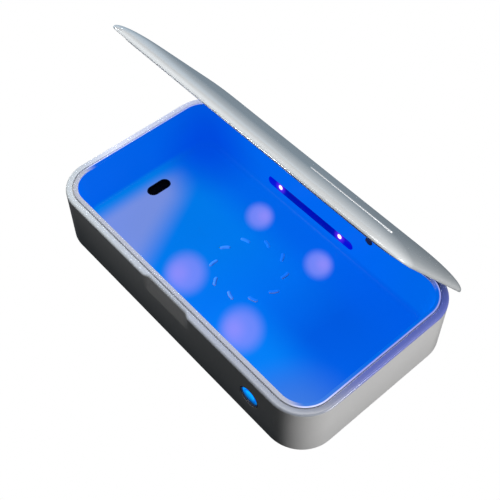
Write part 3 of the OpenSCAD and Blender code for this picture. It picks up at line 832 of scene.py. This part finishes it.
def make_button():
    """Bezel, light ring and cap, turned about the button's axis."""
    frame_at = at_button()
    r_in = (RING[1].x - RING[0].x) / 2 + GAP
    r_out = r_in + 1 * MM
    edge = 0.35 * MM
    profile = [(r_in, 2.9 * MM), (r_in, 0.9 * MM)]
    profile += fillet(r_in + 0.45 * MM, 0.55 * MM, 0.45 * MM, 180, 270, 3)
    profile += fillet(r_out - edge, 0.1 * MM + edge, edge, -90, 0, 2)
    profile += [(r_out, 2.3 * MM), (r_out + BEZEL_FLANGE, 2.3 * MM), (r_out + BEZEL_FLANGE, 2.9 * MM)]
    bezel = place(turned("bezel", profile, turns=72), frame_at)
    finish_piece(bezel, BEZEL_GREY, "base", "button_bezel")
    outer, inner = r_in - GAP, (CAP[1].x - CAP[0].x) / 2 - CAP_FLANGE + GAP
    profile = [(outer, 2.6 * MM), (inner, 2.6 * MM), (inner, 1.15 * MM), (inner + 0.25 * MM, 0.95 * MM),
               (outer - 0.4 * MM, 0.9 * MM), (outer, 1.1 * MM)]
    ring = place(turned("light_ring", profile, turns=72), frame_at)
    finish_piece(ring, LIT_RING, "base", "button_light_ring")
    r = inner - GAP
    dish = [(r * t, 1.15 * MM - 0.3 * MM * t * t) for t in (0, 0.2, 0.4, 0.6, 0.8)]
    profile = dish + [(r - 0.3 * MM, 0.74 * MM), (r - 0.08 * MM, 0.8 * MM), (r, 0.95 * MM), (r, 2.75 * MM),
                      (r + CAP_FLANGE, 2.75 * MM), (r + CAP_FLANGE, 3.2 * MM), (0, 3.2 * MM)]
    cap = place(turned("button_cap", profile, turns=72), frame_at)
    finish_piece(cap, LIT_CAP, "button", "power_button")


def make_feet():
    """Four rubber feet in one piece."""
    radius = 6 * MM
    top = FEET[1].z
    edge = 0.4 * MM
    profile = [(0, 0)] + fillet(radius - edge, edge, edge, -90, 0, 3) + [(radius, top), (0, top)]
    parts = []
    for sx in (-1, 1):
        for sy in (-1, 1):
            x = sx * (FEET[1].x - radius)
            y = sy * (FEET[1].y - radius)
            parts.append(place(turned("foot", profile, turns=48), Matrix.Translation((x, y, 0))))
    feet = parts[0]
    bm = bmesh.new()
    for part in parts:
        bm.from_mesh(part.data)
    for part in parts[1:]:
        bpy.data.objects.remove(part)
    bm.to_mesh(feet.data)
    bm.free()
    feet.name = "feet"
    crisp(feet)
    finish_piece(feet, RUBBER, "base", "rubber_feet")


# ---- lid ----

def level_ring(bm, inset, z, round_share=1.0, arc=20, runs=(44, 24), size=(LID_L, LID_W, LID_R)):
    """Ring of vertices of an outline moved in by inset, at height z above the lid's rim plane."""
    l, w = size[0] - 2 * inset, size[1] - 2 * inset
    r = max(size[2] - round_share * inset, 0.5 * MM)
    points = []
    for q, (sx, sy) in enumerate(((1, 1), (-1, 1), (-1, -1), (1, -1))):
        cx, cy = sx * (l / 2 - r), sy * (w / 2 - r)
        for k in range(arc + 1):
            a = math.radians(90 * (q + k / arc))
            points.append((cx + r * math.cos(a), cy + r * math.sin(a)))
        nx, ny = ((-1, 1), (-1, -1), (1, -1), (1, 1))[q]
        start = points[-1]
        end = (nx * (l / 2 - r), start[1]) if q in (0, 2) else (start[0], ny * (w / 2 - r))
        count = runs[q % 2]
        for k in range(1, count):
            t = k / count
            points.append((start[0] + (end[0] - start[0]) * t, start[1] + (end[1] - start[1]) * t))
    return [bm.verts.new((x, y, Z_LID + z)) for x, y in points]


def skin(bm, rings):
    """Joins rings of vertices one after another and closes both ends."""
    for a, b in zip(rings, rings[1:]):
        for k in range(len(a)):
            m = (k + 1) % len(a)
            bm.faces.new((a[k], a[m], b[m], b[k]))
    bm.faces.new(rings[0])
    bm.faces.new(rings[-1])


def lid_knuckle(x):
    """Barrel and arm of one hinge knuckle, drawn closed."""
    r, bore, half, edge = 2.3 * MM, 1.05 * MM, 7.7 * MM, 0.3 * MM
    profile = [(bore, -half), (r - edge, -half), (r, -half + edge), (r, half - edge), (r - edge, half),
               (bore, half)]
    barrel = turned("barrel", profile, turns=48)
    place(barrel, Matrix.Translation((x, HINGE.y, HINGE.z)) @ Matrix.Rotation(math.radians(90), 4, "Y"))
    arm = block("arm", (x - half, HINGE.y - r, HINGE.z + 0.6 * MM),
                (x + half, HINGE.y + 0.9 * MM, Z_LID + 0.3 * MM))
    apply_boolean(barrel, arm, "UNION")
    return barrel


def make_lid_shell():
    """Crowned cover with the seal's channel, the hinge knuckles and the inlay's groove."""
    bm = bmesh.new()
    channel = ((4.45 * MM, 0), (4.45 * MM, 0.65 * MM), (3.35 * MM, 0.65 * MM), (3.35 * MM, 0))
    under = ((12 * MM, 4.2 * MM), (12 * MM, 2.8 * MM), (5.6 * MM, 2.8 * MM), (5.6 * MM, 0)) + channel
    rings = [level_ring(bm, s, z) for s, z in under]
    edge = 0.3 * MM
    rings += [level_ring(bm, s, z) for s, z in fillet(edge, edge, edge, 270, 180, 3)]
    steps = 26
    for k in range(steps + 1):
        a = math.radians(90 * k / steps)
        rise = (LID_H - LID_EDGE) * math.sin(a)
        rings.append(level_ring(bm, CROWN_RUN * (1 - math.cos(a)), LID_EDGE + rise, round_share=0.4))
    skin(bm, rings)
    shell = new_object("lid_cover", bm, 38)
    for p in shell.data.polygons:
        p.use_smooth = len(p.vertices) < 5
    for s in (-1, 1):
        apply_boolean(shell, lid_knuckle(s * HINGE_X), "UNION")
    groove = flat_bar("groove", INLAY_L + 0.02 * MM, INLAY_W + 0.02 * MM, 2 * MM, edge=0.01 * MM)
    cut(shell, place(groove, Matrix.Translation((INLAY_X, INLAY_Y, Z_LID + LID_H - 0.5 * MM))))
    place(shell, lid_pose())
    crisp(shell, 38)
    return finish_piece(shell, LID_WHITE, "lid", "lid_shell")


def flat_bar(name, l, w, height, edge):
    """Stadium lying flat, from z = 0 up, with rounded upper edges."""
    ob = bar(name, l, w, height, edge)
    return place(ob, Matrix.Translation((0, 0, height)) @ Matrix.Rotation(math.radians(-90), 4, "X"))


def make_lid_plate():
    """Inner plate, with the locating ring that drops just inside the tray's mouth."""
    bm = bmesh.new()
    inset = 5.9 * MM
    top = 1.4 * MM
    edge = 0.3 * MM
    rings = [level_ring(bm, inset, top)]
    rings += [level_ring(bm, s, z) for s, z in fillet(inset + edge, edge, edge, 180, 270, 2)]
    plug_out, plug_in, deep = 8.6 * MM, 10.2 * MM, -1 * MM
    round_r = 0.35 * MM
    ring = [(plug_out, 0)] + fillet(plug_out + round_r, deep + round_r, round_r, 180, 270, 2)
    ring += fillet(plug_in - round_r, deep + round_r, round_r, -90, 0, 2) + [(plug_in, 0)]
    rings += [level_ring(bm, s, z, size=(BODY_L, BODY_W, BODY_R)) for s, z in ring]
    skin(bm, rings)
    plate = new_object("lid_inner_plate", bm, 38)
    place(plate, lid_pose())
    return finish_piece(plate, PLATE_WHITE, "lid", "lid_plate")


def make_seal():
    """Silicone ring in the lid's channel."""
    half, round_r = 0.5 * MM, 0.3 * MM
    path = outline(LID_L, LID_W, LID_R, arc=20, step=6 * MM)
    low, high = Z_LID - 0.2 * MM, Z_LID + 0.6 * MM
    outer, inner = -SEAL_INSET + half, -SEAL_INSET - half
    profile = [(outer, high), (inner, high)]
    profile += fillet(inner + round_r, low + round_r, round_r, 180, 270, 3)
    profile += fillet(outer - round_r, low + round_r, round_r, -90, 0, 3)
    bm, _ = sweep(path, profile)
    seal = place(new_object("seal_ring", bm), lid_pose())
    return finish_piece(seal, SILICONE, "lid", "lid_seal")


def make_inlay():
    """Plain bar in the crown's groove."""
    piece = flat_bar("crown_inlay", INLAY_L, INLAY_W, 0.6 * MM, edge=0.3 * MM)
    place(piece, Matrix.Translation((INLAY_X, INLAY_Y, Z_LID + LID_H - 0.3 * MM)))
    place(piece, lid_pose())
    return finish_piece(piece, INLAY_METAL, "lid", "lid_inlay")


# ---- CAD nodes that stay ----

def dress_nodes():
    """Materials and soft edges for the CAD nodes that are shown as they are."""
    looks = {"bottom_cover": COVER_GREY, "aroma_cup": BLACK, "aroma_pad": FOAM,
             "lid_sensor_lens": LENS_BLACK, "board_components": CHIP, "button_switch": CHIP,
             "charge_socket": STEEL, "cover_screws": STEEL, "base_magnets": STEEL, "lid_magnets": STEEL,
             "hinge_pins": STEEL, "wiring": JACKET, "rear_light_diodes": DIODE,
             "front_light_diodes": DIODE}
    for name in ("rear_light_board", "front_light_board", "lid_sensor_board", "main_board", "charge_board",
                 "button_board"):
        looks[name] = BOARD
    for name, mat in looks.items():
        ob = frame["nodes"][name]
        ob.data.materials.clear()
        ob.data.materials.append(mat)
    for name in ("bottom_cover", "charge_socket", "lid_sensor_lens", "aroma_cup"):
        mod = frame["nodes"][name].modifiers.new("soft_edges", "BEVEL")
        mod.width = 0.15 * MM
        mod.segments = 2
        mod.limit_method = "ANGLE"
        mod.angle_limit = math.radians(50)


# ---- stage, lights and camera ----

def make_floor():
    """Floor that shows white to the camera, soft blue-grey to mirrors, and sends little light up."""
    bm = bmesh.new()
    bmesh.ops.create_grid(bm, x_segments=4, y_segments=4, size=6)
    floor = new_object("floor", bm)
    mat, tree, shader = material("pale_floor")
    path = tree.nodes.new("ShaderNodeLightPath")
    seen = node(tree, "ShaderNodeEmission", Color=(1, 1, 1, 1), Strength=1.0)
    x, y, z = position(tree)
    mirrored = node(tree, "ShaderNodeEmission", Color=(0.52, 0.77, 1.0, 1))
    behind = product(tree, smooth(tree, -0.02, 0.16, y),
                     maths(tree, "ADD", product(tree, masked(tree, "LINEAR", 0.14, -0.03, x), 0.2), 0.05))
    left = product(tree, smooth(tree, -0.14, -0.36, x), 0.5, smooth(tree, -0.1, 0.1, y))
    right = product(tree, smooth(tree, 0.14, 0.3, x), 0.1)
    shine = maths(tree, "MAXIMUM", maths(tree, "MAXIMUM", behind, right), left)
    link(tree, maths(tree, "MAXIMUM", shine, 0.03), mirrored.inputs["Strength"])
    shader.inputs["Base Color"].default_value = (0.03, 0.03, 0.03, 1)
    shader.inputs["Roughness"].default_value = 0.9
    first = tree.nodes.new("ShaderNodeMixShader")
    second = tree.nodes.new("ShaderNodeMixShader")
    link(tree, path.outputs["Is Glossy Ray"], first.inputs["Fac"])
    link(tree, shader.outputs["BSDF"], first.inputs[1])
    link(tree, mirrored.outputs["Emission"], first.inputs[2])
    link(tree, path.outputs["Is Camera Ray"], second.inputs["Fac"])
    link(tree, first.outputs["Shader"], second.inputs[1])
    link(tree, seen.outputs["Emission"], second.inputs[2])
    link(tree, second.outputs["Shader"], tree.nodes["Material Output"].inputs["Surface"])
    mat.cycles.emission_sampling = "NONE"
    floor.data.materials.append(mat)


def make_world():
    """White behind the object for the camera, and a very weak grey light from all round."""
    world = bpy.data.worlds.new("studio")
    bpy.context.scene.world = world
    world.use_nodes = True
    tree = world.node_tree
    back = tree.nodes["Background"]
    back.inputs["Color"].default_value = (0.85, 0.93, 1.0, 1)
    back.inputs["Strength"].default_value = 0.014
    white = node(tree, "ShaderNodeBackground", Color=(1, 1, 1, 1), Strength=1.0)
    path = tree.nodes.new("ShaderNodeLightPath")
    mix = tree.nodes.new("ShaderNodeMixShader")
    link(tree, path.outputs["Is Camera Ray"], mix.inputs["Fac"])
    link(tree, back.outputs["Background"], mix.inputs[1])
    link(tree, white.outputs["Background"], mix.inputs[2])
    link(tree, mix.outputs["Shader"], tree.nodes["World Output"].inputs["Surface"])


def area_light(name, at, towards, size, power, colour):
    """Rectangular lamp that the camera does not see."""
    data = bpy.data.lights.new(name, "AREA")
    data.shape = "RECTANGLE"
    data.size, data.size_y = size
    data.energy = power
    data.color = colour
    ob = bpy.data.objects.new(name, data)
    bpy.context.scene.collection.objects.link(ob)
    ob.location = at
    ob.rotation_euler = (Vector(towards) - Vector(at)).to_track_quat("-Z", "Y").to_euler()
    ob.visible_camera = False
    return ob


def make_lights():
    """Overhead softbox, a lamp at the right, a weak one at the left, and a beam on the lid's edge."""
    near_white, cool = (1.0, 0.99, 0.98), (0.96, 0.97, 1.0)
    area_light("overhead", (0.1, 0.16, 1.2), (0, 0, 0.05), size=(0.9, 0.9), power=12, colour=near_white)
    area_light("right_side", (1.05, 0.24, 0.11), (0.1, 0, 0.03), size=(0.3, 0.2), power=6.9,
               colour=near_white)
    left = area_light("left_back", (-1.0, 0.08, 0.30), (-0.1, 0, 0.04), size=(0.4, 0.3), power=4.5,
                      colour=cool)
    left.visible_glossy = False
    beam = area_light("lid_beam", (-0.30, -0.45, 0.45), (-0.06, -0.01, 0.141), size=(0.08, 0.08), power=0.025,
                      colour=(0.95, 0.98, 1.0))
    beam.data.spread = math.radians(22)


# The camera that was fitted to the outline of the base in the photo
CAMERA_LENS, CAMERA_AT = 67.11, (0.25648, -0.22623, 0.48018)
CAMERA_AZIMUTH, CAMERA_ELEVATION = math.radians(48.49), math.radians(52.85)


def make_camera():
    data = bpy.data.cameras.new("camera")
    data.sensor_width = 36
    data.lens = CAMERA_LENS
    camera = bpy.data.objects.new("camera", data)
    bpy.context.scene.collection.objects.link(camera)
    level = math.cos(CAMERA_ELEVATION)
    forward = Vector((-math.sin(CAMERA_AZIMUTH) * level, math.cos(CAMERA_AZIMUTH) * level,
                      -math.sin(CAMERA_ELEVATION)))
    camera.location = CAMERA_AT
    camera.rotation_euler = forward.to_track_quat("-Z", "Y").to_euler()
    bpy.context.scene.camera = camera


make_camera()
make_world()
make_lights()
make_floor()
make_casing()
make_tray()
make_window(1, "rear_window", "rear_light_window")
make_window(-1, "front_window", "front_light_window")
make_button()
make_feet()
make_lid_shell()
make_lid_plate()
make_seal()
make_inlay()
dress_nodes()

view = bpy.context.scene.view_settings
view.view_transform = "Standard"
view.look = "None"
